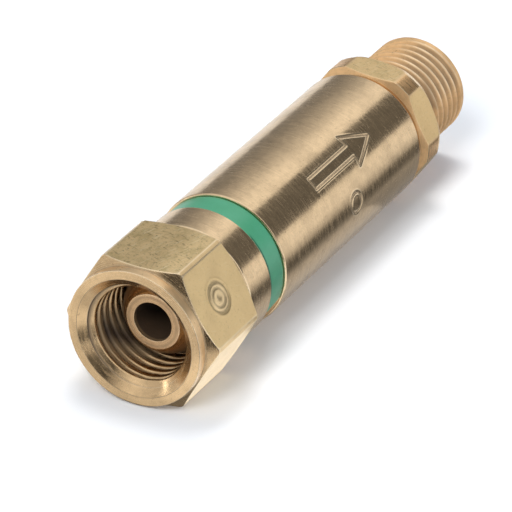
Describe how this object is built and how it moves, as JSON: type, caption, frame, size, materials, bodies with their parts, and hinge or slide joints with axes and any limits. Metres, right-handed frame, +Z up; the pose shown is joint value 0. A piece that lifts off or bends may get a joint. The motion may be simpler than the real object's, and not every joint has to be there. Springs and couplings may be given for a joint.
{
  "type": "flame arrestor",
  "caption": "Brass in-line flame arrestor: swivel hexagon inlet nut with a ball-nosed nipple, round barrel with a green band, and a hexagon collar with a threaded outlet stud.",
  "frame": {"origin": "on the axis, in the plane of the swivel nut's mouth", "axes": "+X along the gas flow from the inlet nut to the outlet stud, +Z up, square to the nut's top flat"},
  "size_m": [0.0784, 0.0216, 0.019],
  "materials": {
    "nut_brass": "machined, satin",
    "body_brass": "turned, satin",
    "valve_brass": "machined",
    "band_green": "smooth",
    "steel": "plain",
    "sintered_steel": "porous, matt",
    "seal_rubber": "matt",
    "gasket_fibre": "matt"
  },
  "bodies": {
    "arrestor": {"inlet_nipple": "body_brass", "inlet_screen": "steel", "screen_ring": "valve_brass", "nipple_gasket": "gasket_fibre", "inlet_body": "body_brass", "color_band": "band_green", "body_o_ring": "seal_rubber", "valve_spring": "steel", "valve_guide": "valve_brass", "guide_clip": "steel", "barrel": "body_brass", "element_cap": "steel", "flame_element": "sintered_steel", "element_gasket": "gasket_fibre", "outlet_o_ring": "seal_rubber", "outlet_adapter": "nut_brass"},
    "nut": {"swivel_nut": "nut_brass"},
    "poppet": {"valve_poppet": "valve_brass", "poppet_seal": "seal_rubber"}
  },
  "joints": [
    {"name": "nut_swivel", "type": "hinge", "parent": "arrestor", "child": "nut", "pos_m": [0.01165, 0, 0], "axis": [1, 0, 0], "continuous": true},
    {"name": "poppet_slide", "type": "slide", "parent": "arrestor", "child": "poppet", "axis": [1, 0, 0], "range_m": [0, 0.002], "stiffness_N_per_m": 150, "springref_m": -0.0015, "deforming": ["valve_spring"]}
  ]
}
